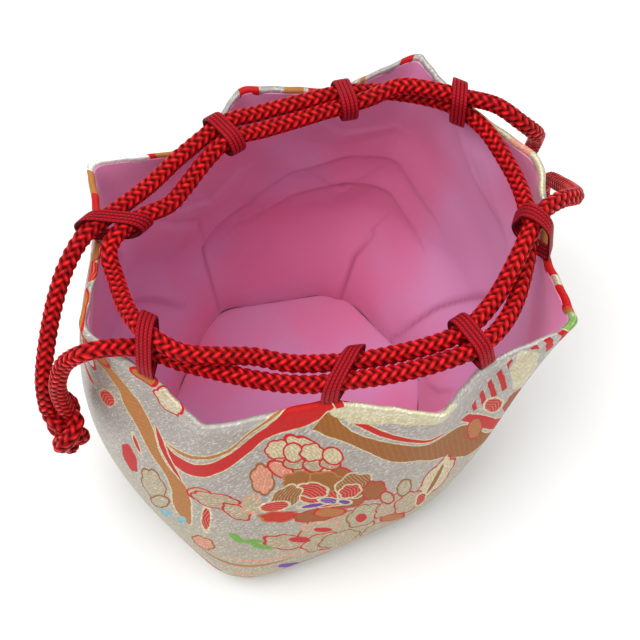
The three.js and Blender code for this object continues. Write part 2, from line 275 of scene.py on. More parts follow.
def knotPiece(side):
    # a tight three-lobed turn, x = sin t + 2 sin 2t and y = cos t - 2 cos 2t, with a trimmed tail below
    place = np.array(knots[side]["place"]) + [0, 0, knotShape["lift"]]
    facing = math.radians(knots[side]["facing"])
    t = np.linspace(0.15, 2 * np.pi - 0.05, 40)
    turn = np.stack([
        knotShape["deep"] * np.sin(3 * t),
        knotShape["lobe"] * (np.sin(t) + 2 * np.sin(2 * t)),
        knotShape["lobe"] * (np.cos(t) - 2 * np.cos(2 * t)),
    ], axis=1)
    tail = np.array([(0.001, -0.001, 0.0), (0.0015, 0.001, -0.0045), (0.001, 0.0026, -0.0085),
                     (0.0, 0.0034, -knotShape["tailDown"])])
    turned = np.array(Matrix.Rotation(facing, 3, "Z")).T
    points, faces, uvs, relief, lean, count = [], [], [], [], [], 0
    for strand in [turn, tail]:
        path, along = smoothRoute(strand @ turned + place, cordLook["step"])
        p, f, uv, values = braidTube(path, along, place + [0.0, 0.0, -0.03])
        points.append(p.reshape(-1, 3))
        faces.append(f + count)
        uvs.append(uv)
        relief.append(values["relief"].ravel())
        lean.append(values["lean"].ravel())
        count += p.shape[0] * p.shape[1]
    values = {"relief": np.concatenate(relief), "lean": np.concatenate(lean)}
    piece = addPiece(f"{side}Knot", np.vstack(points), np.vstack(faces), redBraid, np.vstack(uvs), values)
    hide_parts(f"knot_{side}")
    return piece


for side, route in (("left", leftRoute), ("right", rightRoute)):
    knot = knotPiece(side)
    path, along = smoothRoute(route, cordLook["step"])
    points, faces, uv, values = braidTube(path, along, (0.005, 0, 0.02))
    cord = addPiece(f"{side}Drawstring", points, faces, redBraid, uv, values)
    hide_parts(f"drawstring_{side}")
    print(f"{side} drawstring", round(float(along[-1]), 4), "m,", len(faces) * 2, "triangles")

# the pouch's shape
pouch = {
    "floorCentre": (0, -0.003),
    "floorCorners": [(-0.03, 0.04), (0.018, 0.047), (0.047, 0.012), (0.04, -0.035), (-0.018, -0.058),
                     (-0.048, -0.011)],
    "floorRounding": 0.2,
    "footOut": 0.0042,
    "rimCentre": (0.012, 0),
    "valleyHeight": 0.111,
    "cornerHeight": 0.114,
    "valleys": [(-0.054, 0.005), (-0.025, 0.035), (0.018, 0.057), (0.055, 0.053), (0.077, -0.007),
                (0.056, -0.043), (0.013, -0.053), (-0.037, -0.044)],
    "corners": [(-0.059, 0.029), (-0.013, 0.057), (0.044, 0.069), (0.079, 0.025), (0.083, -0.032),
                (0.043, -0.06), (-0.022, -0.062), (-0.057, -0.03)],
    "rimRounding": 0.14,
    "foldFade": 4,  # how fast the rim's folds die out below it
    "bottom": 0.0012,
    "belly": 0.0095,
    "bellyLean": 0.004,
    "bellyAngle": -25,
    "bellyShare": 0.05,
    "side": 0.003,
    "sideStretch": 0.005,
    "sideAngle": 20,
    "wallThickness": 0.0014,
    "lipRadius": 0.0012,
    "lipDepth": 0.0036,
    "columns": 480,
}


def roundedPolygon(corners, u, rounding):
    # a closed polygon whose corners are rounded by a quadratic curve; u runs one unit per side
    at = lambda index: corners[np.mod(index, len(corners))]
    mix = lambda a, b, t: a + (b - a) * t
    corner, side = np.round(u).astype(int), np.floor(u).astype(int)
    straight = mix(at(side), at(side + 1), (u - side)[:, None])
    t = ((u - corner + rounding) / (2 * rounding))[:, None]
    start, end = mix(at(corner), at(corner - 1), rounding), mix(at(corner), at(corner + 1), rounding)
    bend = mix(mix(start, at(corner), t), mix(at(corner), end, t), t)
    return np.where((np.abs(u - corner) >= rounding)[:, None], straight, bend)


def outlineReach(angle):
    # distance from the floor's centre to the floor's outline, in the direction of each angle
    corners = np.array(pouch["floorCorners"])
    around = np.linspace(0, len(corners), 2000, endpoint=False)
    outline = roundedPolygon(corners, around, pouch["floorRounding"])
    outline = outline - np.array(pouch["floorCentre"])
    at = np.arctan2(outline[:, 1], outline[:, 0])
    order = np.argsort(at)
    return np.interp(angle, at[order], np.hypot(*outline.T)[order], period=2 * np.pi)


def wallColumns(count):
    # one column for each step round the rim, clockwise from the left tab
    heights = ((pouch["valleys"], pouch["valleyHeight"]), (pouch["corners"], pouch["cornerHeight"]))
    rings = [np.column_stack([np.array(p), np.full(len(p), z)]) for p, z in heights]
    controls = np.stack(rings, axis=1).reshape(-1, 3)
    rim = roundedPolygon(controls, np.arange(count) / count * len(controls), pouch["rimRounding"])
    x, y = rim[:, 0] - pouch["rimCentre"][0], rim[:, 1] - pouch["rimCentre"][1]
    radius, reach = np.hypot(x, y), count // len(pouch["valleys"])
    k = np.arange(-reach, reach + 1)
    weights = 0.5 + 0.5 * np.cos(np.pi * k / reach)
    smooth = sum(w * np.roll(radius, -i) for i, w in zip(k, weights)) / weights.sum()
    angle = np.arctan2(y, x)
    return {"angle": angle, "radius": radius, "smooth": smooth, "height": rim[:, 2],
            "floor": outlineReach(angle), "share": np.arange(count) / count * len(controls)}


def wallPoint(columns, v, inset):
    # the outer face moved in by inset; v runs from the base (0) to the rim (1)
    # reach = floor outline to smoothed rim, plus the belly, the bowed side and the rim folds
    v = np.atleast_2d(v)
    angle = columns["angle"][None, :]
    lean = np.cos(angle - math.radians(pouch["bellyAngle"]))
    stretch = np.cos(angle - math.radians(pouch["sideAngle"])) ** 2
    belly = (pouch["belly"] - pouch["bellyLean"] * lean) * (1 - np.exp(-v / pouch["bellyShare"])) * (1 - v)
    side = (pouch["side"] + pouch["sideStretch"] * stretch) * np.sin(np.pi * np.clip(v, 0, 1) ** 0.9)
    grow = v**1.1
    plain = (columns["floor"] + pouch["footOut"]) * (1 - grow) + columns["smooth"] * grow
    reach = plain + belly + side + (columns["radius"] - columns["smooth"]) * v ** pouch["foldFade"] - inset
    x = pouch["floorCentre"][0] * (1 - v) + pouch["rimCentre"][0] * v + reach * np.cos(angle)
    y = pouch["floorCentre"][1] * (1 - v) + pouch["rimCentre"][1] * v + reach * np.sin(angle)
    z = pouch["bottom"] + (columns["height"] - pouch["bottom"]) * v
    return np.stack(np.broadcast_arrays(x, y, z), axis=-1)


columns = wallColumns(pouch["columns"])
middle = wallPoint(columns, 0.6, 0)[0]
clothAlong = np.concatenate([[0], np.cumsum(np.linalg.norm(np.roll(middle, -1, axis=0) - middle, axis=1))])


# brocade
thread = {
    "silver": (0.39, 0.35, 0.33),
    "cream": (0.62, 0.55, 0.33),
    "petal": (0.44, 0.38, 0.23),
    "gold": (0.46, 0.175, 0.035),
    "brown": (0.31, 0.10, 0.010),
    "red": (0.54, 0.003, 0.0015),
    "purple": (0.15, 0.035, 0.32),
    "green": (0.16, 0.38, 0.05),
    "teal": (0.16, 0.40, 0.48),
    "salmon": (0.72, 0.30, 0.19),
    "white": (0.85, 0.84, 0.80),
}
# The figures repeat once every half turn. Numbers are millimetres on the cloth: along the rim,
# then up from the base. Most of them were marked on the photo and turned into cloth millimetres by a
# scratch script, so they aren't chosen by hand.
# Bands: (along, top, bottom), with the edge left out where the two meet.
bands = [
    {"thread": "gold", "hatch": "brown", "edge": "cream", "line": [
        (102, 118, 117), (109, 117, 115), (117, 113, 111), (122, 108.5, 106.5), (128, 100, 97.5),
        (134, 96, 93.5), (141, 92.5, 90), (146, 92, 90.8), (152, 96, 96)]},
    {"thread": "red", "hatch": "red", "edge": "cream", "line": [
        (91, 114, 114), (96, 119, 112), (101, 119, 108), (106, 119, 106), (116, 111, 104.5),
        (121, 106, 98.5), (128, 96.5, 88.5), (133, 91.5, 83.5), (140, 88.5, 81), (145, 89.5, 84),
        (150, 95.5, 94), (156, 100, 100)]},
    {"thread": "brown", "hatch": "gold", "edge": "cream", "line": [
        (27, 50, 50), (34, 58, 52), (41, 67, 56), (46, 76, 58), (50, 84, 62), (54, 88, 66),
        (58, 90.5, 70.5), (64, 90.3, 74), (70, 91.5, 79.5), (76, 94, 82), (83, 98, 89),
        (89, 101.5, 95), (94, 106, 98.5),
        (98, 110.5, 100.5), (101, 108, 103), (104, 104.5, 104.5)]},
    {"thread": "red", "hatch": "red", "edge": "cream", "line": [
        (60, 92, 92), (65, 93.6, 91.6), (73, 97.2, 94.4), (80, 101.2, 98), (86, 105.8, 102.2),
        (92, 111, 107), (97, 117, 112), (100, 118, 116)]},
    {"thread": "red", "hatch": "red", "edge": "cream", "line": [
        (14, 50, 50), (20, 53, 50), (26, 58, 52), (33, 66, 57), (39, 74, 66), (46, 85, 77),
        (52, 92, 86.5), (56, 95, 91.5), (58, 94, 94)]},
]
wideBands = [  # (up, far edge, near edge) for the figures that run up the cloth
    {"thread": "gold", "hatch": "brown", "edge": "cream", "line": [
        (44, 137, 137), (47, 140, 136), (54, 143, 136), (66, 144, 136.5), (74, 147, 139),
        (78, 151, 144), (83, 155, 148), (88, 159, 150), (93, 164, 152), (98, 167, 156),
        (101, 171, 160), (104, 176, 166), (107, 177, 173), (109, 177, 177)]},
    {"thread": "red", "hatch": "red", "edge": "cream", "line": [
        (72, 140, 140), (76, 141.5, 140), (79, 144, 141.3), (84, 147.5, 144.3), (91, 150.5, 147.3),
        (95, 151.5, 150), (97, 152, 152)]},
]
stripes = {
    "line": [(27, 114, 104), (34, 113, 97), (40, 112, 94), (46, 107, 93.5), (52, 102, 94), (57, 97, 97)],
    "pitch": 3.6,
    "slant": 0.3,
}
clothReach = 120  # millimetres up the cloth that the curves of the band edges cover
twillPitch = 0.36
# Patches: along, up, half length, half width, turn in degrees, thread, edge thread
patches = [
    (81, 111, 15, 4.5, -4, "cream", "cream"),
    (93, 72, 17, 8.5, 60, "brown", "red"),
    (97, 70, 11, 4.5, 50, "red", "cream"),
    (88, 36, 22, 10.5, 66, "petal", "red"),
    (103, 93.5, 12, 4.2, 52, "cream", "red"),
    (35, 98, 15, 4.5, 75, "cream", "silver"),
    (43.5, 88, 7, 2.6, 60, "red", "cream"),
    (33, 77, 7.5, 3.6, 67, "brown", "red"),
    (148, 111.5, 6, 3.6, -16, "cream", "red"),
    (159, 112.5, 4.2, 2.0, -4, "gold", "red"),
    (171, 88, 5, 3, -65, "red", "cream"),
    (158, 78, 4, 1.3, 66, "red", "cream"),
    (161, 64, 7.7, 3.2, 90, "red", "red"),
    (151, 58, 11.5, 5, -85, "petal", "brown"),
    (149, 48, 8.5, 2.6, -66, "petal", "brown"),
    (147, 41, 4.6, 1.7, -61, "teal", "teal"),
    (140, 45, 3.4, 1.2, -74, "teal", "teal"),
    (131, 57, 8.5, 1.7, -90, "red", "cream"),
    (132, 36, 6.5, 3.4, -66, "salmon", "brown"),
    (137, 17, 13, 2.0, 8, "red", "cream"),
    (134, 72, 4.7, 3, -56, "petal", "red"),
    (129, 71, 7.2, 4.4, -15, "petal", "red"),
    (122, 67, 5.2, 3.2, 49, "petal", "red"),
    (118, 72, 4.8, 2.6, 82, "petal", "salmon"),
    (116, 85, 7.6, 3.2, 78, "salmon", "brown"),
    (111, 89, 5.4, 2.5, 50, "salmon", "red"),
    (107, 91, 3.8, 2.6, 37, "petal", "red"),
    (101, 88.5, 3.8, 2.6, 47, "petal", "red"),
    (96, 88, 3.6, 2.6, 46, "petal", "red"),
    (113, 98.5, 4.4, 3.3, 58, "cream", "red"),
    (108, 96, 4.2, 2.9, 66, "cream", "red"),
    (102, 94.5, 4.6, 3.1, 49, "cream", "red"),
    (95.5, 91.5, 4.3, 2.8, 66, "cream", "red"),
    (104, 81.5, 6.6, 4.0, 39, "brown", "gold"),
    (96, 78, 7.4, 4.2, 51, "brown", "gold"),
    (87, 71.5, 8.8, 5.6, 76, "brown", "cream"),
    (80, 64, 8, 3.4, 74, "brown", "red"),
    (100, 75, 6.2, 3.4, 47, "red", "cream"),
    (88, 69, 5, 3.2, 70, "red", "cream"),
    (108, 74, 6.4, 4.6, -81, "brown", "cream"),
    (111, 70, 4.2, 3.0, 2, "red", "cream"),
    (109, 63, 6.2, 3.2, 22, "red", "gold"),
    (97, 57.5, 8, 3.8, 30, "brown", "red"),
    (93, 57, 6, 3, 41, "gold", "red"),
    (99, 65.5, 4.2, 1.5, 12, "purple", "cream"),
    (94, 66, 4.2, 1.7, 42, "purple", "cream"),
    (89, 62, 3.2, 1.3, 50, "purple", "cream"),
    (95, 47.5, 7.4, 3.2, 41, "petal", "salmon"),
    (105, 42, 10.5, 4.2, 50, "petal", "red"),
    (93, 31, 10, 5.8, 69, "petal", "red"),
    (80, 43, 11.5, 5.6, 74, "petal", "brown"),
    (70, 42, 11, 6, 85, "petal", "red"),
    (86, 26, 11, 6, 60, "petal", "brown"),
    (101, 41, 4.2, 1.3, 49, "red", "red"),
    (94, 44, 3.6, 1.1, 49, "red", "red"),
    (81, 42, 4, 1.5, 74, "red", "red"),
    (62, 32, 7.5, 2.6, 81, "red", "brown"),
    (121, 50, 2.8, 1.3, 57, "green", "green"),
    (116, 48, 2.6, 1.4, 8, "green", "green"),
    (113, 43.5, 3.6, 1.2, 43, "green", "green"),
    (102, 15, 6, 1.7, 54, "purple", "purple"),
    (57, 52, 17, 5.4, 89, "cream", "red"),
    (57, 52, 15, 1.3, 89, "brown", "cream"),
    (63, 37, 13, 5, 75, "petal", "red"),
    (58, 35, 8, 2, 77, "red", "cream"),
    (68, 17, 11, 7, 50, "petal", "brown"),
    (81, 13, 9.6, 4.6, 13, "petal", "salmon"),
    (92, 11, 12, 1.1, 7, "brown", "brown"),
    (49, 80, 8, 2.8, 73, "gold", "red"),
    (118, 27, 11, 0.7, 8, "gold", "gold"),
    (110, 30, 9, 0.6, 14, "salmon", "salmon"),
    (14, 60, 9, 5, 60, "petal", "red"),
    (20, 44, 9, 4.5, 20, "petal", "red"),
    (10, 45, 8, 4.5, -30, "petal", "brown"),
    (14, 50, 3, 2.4, 0, "gold", "red"),
    (12, 84, 9, 3.2, 65, "gold", "red"),
    (204, 84, 8, 3, -50, "red", "cream"),
    (200, 60, 10, 4.5, 40, "petal", "brown"),
    (192, 44, 8, 3, -60, "gold", "cream"),
    (188, 109.5, 9, 4.2, -4, "gold", "red"),
    (180, 103, 6, 2.6, 60, "white", "red"),
    (195, 103, 6, 3, 30, "petal", "red"),
    (201, 111, 5, 4.5, 10, "red", "cream"),
    (209, 110, 5, 5, 10, "gold", "red"),
    (210, 103, 4, 3, 10, "cream", "red"),
    (183, 92, 8, 2.4, 40, "red", "cream"),
    (193, 90, 7, 3.2, -50, "gold", "brown"),
    (176, 106, 5, 2.2, 0, "gold", "red"),
    (24, 114, 3.4, 6, 0, "green", "cream"),
    (20, 92, 9, 3.6, 72, "petal", "red"),
    (69, 57, 8, 2.4, 78, "petal", "brown"),
    (74, 53, 7, 2.0, 70, "petal", "red"),
    (66, 25, 8, 2.8, 50, "gold", "red"),
    (125, 12, 10, 2.4, 8, "petal", "brown"),
    (112, 15, 8, 2.4, 30, "petal", "salmon"),
]
lipColors = [  # share of the way round the rim at which each stretch of the lip begins
    (0.0, "silver"), (0.012, "red"), (0.03, "gold"), (0.045, "white"), (0.075, "red"), (0.082, "gold"),
    (0.105, "cream"), (0.125, "silver"), (0.165, "red"), (0.18, "silver"), (0.20, "gold"), (0.215, "silver"),
    (0.222, "red"), (0.24, "gold"), (0.25, "silver"), (0.262, "gold"), (0.268, "silver"), (0.29, "red"),
    (0.297, "silver"), (0.33, "cream"), (0.345, "red"), (0.352, "gold"), (0.375, "cream"), (0.40, "salmon"),
    (0.42, "cream"), (0.455, "silver"), (0.475, "gold"), (0.505, "red"), (0.52, "cream"), (0.53, "red"),
    (0.548, "cream"),
]


def newGroup(name, inputs, outputs):
    tree = bpy.data.node_groups.new(name, "ShaderNodeTree")
    for label, kind in inputs:
        tree.interface.new_socket(label, in_out="INPUT", socket_type=f"NodeSocket{kind}")
    for label, kind in outputs:
        tree.interface.new_socket(label, in_out="OUTPUT", socket_type=f"NodeSocket{kind}")
    return tree, tree.nodes.new("NodeGroupInput").outputs, tree.nodes.new("NodeGroupOutput")


def patchGroup():
    # an oval patch of one thread with a line of another round it
    tree, given, result = newGroup(
        "wovenPatch",
        [("Color", "Color"), ("Cloth", "Vector"), ("Centre", "Vector"), ("Half Size", "Vector"),
         ("Turn", "Float"), ("Fill", "Color"), ("Edge", "Color"), ("Lobes", "Float"), ("Hatch", "Float")],
        [("Color", "Color")])
    # a trace of the color so far makes the patches be worked out one after another, which keeps them light
    traceInputs = {0: given["Color"], 1: (1e-9, 1e-9, 1e-9), 2: given["Cloth"]}
    trace = addNode(tree, "ShaderNodeVectorMath", traceInputs, operation="MULTIPLY_ADD").outputs[0]
    offset = addNode(tree, "ShaderNodeVectorMath", {0: trace, 1: given["Centre"]}, operation="SUBTRACT")
    back = maths(tree, "MULTIPLY", given["Turn"], -1.0)
    turned = addNode(tree, "ShaderNodeVectorRotate", {"Vector": offset.outputs[0], "Angle": back},
                     rotation_type="Z_AXIS")
    scaled = addNode(tree, "ShaderNodeVectorMath", {0: turned.outputs[0], 1: given["Half Size"]},
                     operation="DIVIDE")
    far = addNode(tree, "ShaderNodeVectorMath", {0: scaled.outputs[0]}, operation="LENGTH").outputs["Value"]
    local = addNode(tree, "ShaderNodeSeparateXYZ", {0: scaled.outputs[0]})
    around = maths(tree, "ARCTAN2", local.outputs[1], local.outputs[0])
    lobe = maths(tree, "ABSOLUTE", maths(tree, "COSINE", maths(tree, "MULTIPLY", around, given["Lobes"])))
    far = maths(tree, "ADD", far, maths(tree, "MULTIPLY_ADD", lobe, -0.16, 0.08))
    thin = addNode(tree, "ShaderNodeSeparateXYZ", {0: given["Half Size"]}).outputs[1]
    beyond = maths(tree, "MULTIPLY", maths(tree, "SUBTRACT", far, 1.0), thin)
    fill = ramp(tree, beyond, -0.08, 0.08, 1.0, 0.0)
    line = ramp(tree, maths(tree, "ABSOLUTE", beyond), 0.22, 0.36, 1.0, 0.0)
    across = addNode(tree, "ShaderNodeSeparateXYZ", {0: turned.outputs[0]})
    ray = maths(tree, "MULTIPLY_ADD", maths(tree, "ABSOLUTE", across.outputs[0]), 0.25, across.outputs[1])
    hatch = maths(tree, "MULTIPLY", ramp(tree, maths(tree, "PINGPONG", ray, 0.5), 0.32, 0.42), given["Hatch"])
    woven = mixColor(tree, hatch, given["Fill"], given["Edge"])
    color = mixColor(tree, fill, given["Color"], woven)
    tree.links.new(mixColor(tree, line, color, given["Edge"]), result.inputs["Color"])
    return tree


def bandGroup():
    # fills between two edge heights, with a fine line along both
    tree, given, result = newGroup(
        "wovenBand",
        [("Color", "Color"), ("At", "Float"), ("Top", "Float"), ("Bottom", "Float"), ("Across", "Float"),
         ("Fill", "Color"), ("Hatch", "Color"), ("Edge", "Color")],
        [("Color", "Color")])
    above = maths(tree, "SUBTRACT", given["Top"], given["At"])
    below = maths(tree, "SUBTRACT", given["At"], given["Bottom"])
    inside = maths(tree, "MINIMUM", above, below)
    isOpen = ramp(tree, maths(tree, "SUBTRACT", given["Top"], given["Bottom"]), 0.6, 1.2)
    fill = maths(tree, "MULTIPLY", ramp(tree, inside, -0.08, 0.08), isOpen)
    line = maths(tree, "MULTIPLY", ramp(tree, maths(tree, "ABSOLUTE", inside), 0.28, 0.42, 1.0, 0.0), isOpen)
    hatch = ramp(tree, maths(tree, "PINGPONG", given["Across"], 0.9), 0.68, 0.78, 0.0, 0.4)
    woven = mixColor(tree, hatch, given["Fill"], given["Hatch"])
    color = mixColor(tree, fill, given["Color"], woven)
    tree.links.new(mixColor(tree, line, color, given["Edge"]), result.inputs["Color"])
    return tree


def twillGroup():
    # diagonal metallic threads whose brightness changes from stitch to stitch
    tree, given, result = newGroup(
        "twillThreads", [("Cloth", "Vector"), ("Pitch", "Float")],
        [("Sparkle", "Float"), ("Glint", "Float"), ("Height", "Float")])
    scaled = addNode(tree, "ShaderNodeVectorMath", {0: given["Cloth"], 1: given["Pitch"]}, operation="DIVIDE")
    parts = addNode(tree, "ShaderNodeSeparateXYZ", {0: scaled.outputs[0]})
    diagonal = maths(tree, "ADD", parts.outputs[0], maths(tree, "MULTIPLY", parts.outputs[1], 0.7))
    wave = maths(tree, "SINE", maths(tree, "MULTIPLY", diagonal, 2 * math.pi))
    cell = addNode(tree, "ShaderNodeCombineXYZ", {
        0: maths(tree, "FLOOR", diagonal),
        1: maths(tree, "FLOOR", maths(tree, "MULTIPLY", parts.outputs[1], 0.55))})
    random = addNode(tree, "ShaderNodeTexWhiteNoise", {0: cell.outputs[0]}, noise_dimensions="3D").outputs[0]
    tree.links.new(random, result.inputs["Sparkle"])
    # Glint picks the stitches that get a painted glint
    tree.links.new(ramp(tree, random, 0.86, 0.95), result.inputs["Glint"])
    tree.links.new(maths(tree, "MULTIPLY_ADD", wave, 0.5, random), result.inputs["Height"])
    return tree


def edgeCurve(tree, factor, line, which, across, high):
    # one edge of a band as a smooth curve through its points; keeps to millimetres
    share = maths(tree, "DIVIDE", factor, across)
    node = addNode(tree, "ShaderNodeFloatCurve", {"Value": share})
    curve = node.mapping.curves[0]
    level = 3  # millimetres that each end runs on level
    places = [(p[0], p[which]) for p in line]
    (firstAt, first), (lastAt, last) = places[0], places[-1]
    stops = [(firstAt - level, first), *places, (lastAt + level, last)]
    curve.points[0].location = (stops[0][0] / across, stops[0][1] / high)
    curve.points[1].location = (stops[-1][0] / across, stops[-1][1] / high)
    for at, value in stops[1:-1]:
        curve.points.new(at / across, value / high)
    node.mapping.extend = "HORIZONTAL"
    node.mapping.update()
    return maths(tree, "MULTIPLY", node.outputs[0], high)


def threadColor(name):
    return (*thread[name], 1)


def addBands(tree, color, group, figures, at, across, along, span, high):
    # lays each band over the color so far; at is held between its two edges, which change with along
    for band in figures:
        color = addNode(tree, "ShaderNodeGroup", {
            "Color": color,
            "At": at,
            "Across": across,
            "Top": edgeCurve(tree, along, band["line"], 1, span, high),
            "Bottom": edgeCurve(tree, along, band["line"], 2, span, high),
            "Fill": threadColor(band["thread"]),
            "Hatch": threadColor(band["hatch"]),
            "Edge": threadColor(band["edge"]),
        }, node_tree=group).outputs[0]
    return color


def brocadeMaterial():
    material, tree, shader = newMaterial("figuredBrocade")
    wovenPatch, wovenBand, twill = patchGroup(), bandGroup(), twillGroup()
    uv = addNode(tree, "ShaderNodeUVMap", uv_map="UVMap").outputs[0]
    parts = addNode(tree, "ShaderNodeSeparateXYZ", {0: uv})
    half = clothAlong[-1] * 500  # half a turn, in millimetres
    along = maths(tree, "FLOORED_MODULO", maths(tree, "MULTIPLY", parts.outputs[0], 1000.0), half)
    up = maths(tree, "MULTIPLY", parts.outputs[1], 1000.0)
    noise = addNode(tree, "ShaderNodeTexNoise", {"Vector": uv, "Scale": 260.0, "Detail": 2.0})
    plain = addNode(tree, "ShaderNodeCombineXYZ", {0: along, 1: up}).outputs[0]
    wobble = 0.9  # millimetres between the least and the most that the noise moves an edge
    movedInputs = {0: noise.outputs["Color"], 1: (wobble, wobble, 0.0), 2: plain}
    moved = addNode(tree, "ShaderNodeVectorMath", movedInputs, operation="MULTIPLY_ADD")
    cloth = addNode(tree, "ShaderNodeVectorMath", {0: moved.outputs[0], 1: (wobble / 2, wobble / 2, 0.0)},
                    operation="SUBTRACT").outputs[0]
    woven = addNode(tree, "ShaderNodeSeparateXYZ", {0: cloth})
    along, up = woven.outputs[0], woven.outputs[1]

    threads = addNode(tree, "ShaderNodeGroup", {"Cloth": plain, "Pitch": twillPitch}, node_tree=twill)
    broad = addNode(tree, "ShaderNodeTexNoise", {"Vector": uv, "Scale": 55.0, "Detail": 2.0}).outputs[0]
    uneven = maths(tree, "MULTIPLY", broad, 0.3)
    low = maths(tree, "MULTIPLY_ADD", ramp(tree, up, 20.0, 80.0, 1.0, 0.0), 0.6, uneven)
    color = mixColor(tree, low, thread["silver"], thread["petal"])

    slanted = maths(tree, "SUBTRACT", along, maths(tree, "MULTIPLY", up, stripes["slant"]))
    crossed = maths(tree, "ADD", up, maths(tree, "MULTIPLY", along, 0.5))
    color = addBands(tree, color, wovenBand, bands, up, slanted, along, half, clothReach)
    color = addBands(tree, color, wovenBand, wideBands, along, crossed, up, clothReach, half)
    # the slanting red stripes under the rim
    top = edgeCurve(tree, along, stripes["line"], 1, half, clothReach)
    bottom = edgeCurve(tree, along, stripes["line"], 2, half, clothReach)
    stripe = ramp(tree, maths(tree, "PINGPONG", slanted, stripes["pitch"] / 2), 0.8, 1.0)
    inside = maths(tree, "MINIMUM", maths(tree, "SUBTRACT", top, up), maths(tree, "SUBTRACT", up, bottom))
    isOpen = ramp(tree, maths(tree, "SUBTRACT", top, bottom), 0.5, 1.0)
    mask = maths(tree, "MULTIPLY", maths(tree, "MULTIPLY", stripe, ramp(tree, inside, 0.0, 0.3)), isOpen)
    color = mixColor(tree, mask, color, thread["red"])

    for x, y, length, width, turn, fill, edge in patches:
        color = addNode(tree, "ShaderNodeGroup", {
            "Color": color,
            "Cloth": cloth,
            "Centre": (x, y, 0),
            "Half Size": (length, width, 1),
            "Turn": math.radians(turn),
            "Fill": threadColor(fill),
            "Edge": threadColor(edge),
            "Lobes": 3 if width > 3 else 1,
            "Hatch": 0.35 if width > 1.6 else 0,
        }, node_tree=wovenPatch).outputs[0]

    # the lip has its own run of threads where it rolls over, on the back half of the rim
    shareRound = maths(tree, "DIVIDE", parts.outputs[0], float(clothAlong[-1]))
    lipRamp = addNode(tree, "ShaderNodeValToRGB", {0: shareRound})
    lipRamp.color_ramp.interpolation = "CONSTANT"
    stops = lipRamp.color_ramp.elements
    stops[0].color = threadColor(lipColors[0][1])
    stops[1].position = lipColors[-1][0]
    stops[1].color = threadColor(lipColors[-1][1])
    for share, name in lipColors[1:-1]:
        stops.new(share).color = threadColor(name)
    backHalf = ramp(tree, parts.outputs[0], 0.236, 0.24, 1.0, 0.0)
    nearRim = maths(tree, "MULTIPLY", parts.outputs[1], 1000.0)
    onLip = maths(tree, "MULTIPLY", ramp(tree, nearRim, 108.0, 109.5), backHalf)
    color = mixColor(tree, onLip, color, lipRamp.outputs[0])

    hue = addNode(tree, "ShaderNodeSeparateColor", {0: color}, mode="HSV")
    metal = ramp(tree, hue.outputs[1], 0.55, 0.95, 1.0, 0.0)
    shade = addNode(tree, "ShaderNodeMix", {"Factor": metal}, data_type="FLOAT")
    tree.links.new(ramp(tree, threads.outputs["Sparkle"], 0.0, 1.0, 0.86, 1.06, "LINEAR"), shade.inputs[2])
    tree.links.new(ramp(tree, threads.outputs["Sparkle"], 0.0, 1.0, 0.72, 1.12, "LINEAR"), shade.inputs[3])
    shaded = addNode(tree, "ShaderNodeVectorMath", {0: color, "Scale": shade.outputs[0]}, operation="SCALE")
    # painted highlight: the metal threads of the rolled lip are mixed toward white near the rim
    lip = ramp(tree, nearRim, 108.5, 111.5, 0.0, 0.15)
    lit = mixColor(tree, maths(tree, "MULTIPLY", lip, metal), shaded.outputs[0], thread["white"])
    # painted highlight: random metal stitches are mixed toward white as glints
    glint = maths(tree, "MULTIPLY", threads.outputs["Glint"], maths(tree, "MULTIPLY", metal, 0.4))
    lit = mixColor(tree, glint, lit, thread["white"])
    tree.links.new(lit, shader.inputs["Base Color"])
    tree.links.new(maths(tree, "MULTIPLY", metal, 0.45), shader.inputs["Metallic"])
    tree.links.new(ramp(tree, metal, 0.0, 1.0, 0.6, 0.36, "LINEAR"), shader.inputs["Roughness"])
    shader.inputs["Specular IOR Level"].default_value = 0.3
    relief = {"Height": threads.outputs["Height"], "Strength": 0.45, "Distance": 0.00012}
    bump = addNode(tree, "ShaderNodeBump", relief)
    tree.links.new(bump.outputs[0], shader.inputs["Normal"])
    return material


brocade = brocadeMaterial()


def brocadeWall():
    # the profile goes up the outside, over the puffed lip and down the inside
    rise = pouch["cornerHeight"] - pouch["bottom"]
    lip, deep, thick = pouch["lipRadius"], pouch["lipDepth"], pouch["wallThickness"]
    up = np.linspace(0, 1 - lip / rise, 60)
    arc = np.linspace(0, np.pi, 12)[1:-1]
    tuck = 1 - np.array([lip, deep * 0.6, deep * 0.85, deep]) / rise
    down = np.linspace(1 - (deep + 0.001) / rise, 0, 20)
    v = np.concatenate([up, 1 - (lip - lip * np.sin(arc)) / rise, tuck, down])
    inset = np.concatenate([0 * up, lip - lip * np.cos(arc), [2 * lip, 2 * lip, 1.9 * lip, 1.4 * lip],
                            np.full(len(down), thick)])
    share = columns["share"]
    puff = 0.0003 * np.sin(2 * np.pi * share * 2.3) * np.sin(2 * np.pi * share * 1.1 + 1)
    points = wallPoint(columns, v[:, None], inset[:, None] - puff[None, :] * v[:, None] ** 12)
    rows = len(v)
    along = np.concatenate([[0], np.cumsum(np.hypot(np.diff(v) * rise, np.diff(inset)))])
    uv = gridUv(clothAlong, np.append(along, along[-1]), rows, len(share), closeRows=True)
    faces = gridFaces(rows, len(share), closeRows=True)
    piece = addPiece("brocadeWall", points, faces, brocade, uv)
    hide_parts("outer_wall")


brocadeWall()
print("brocade wall made")

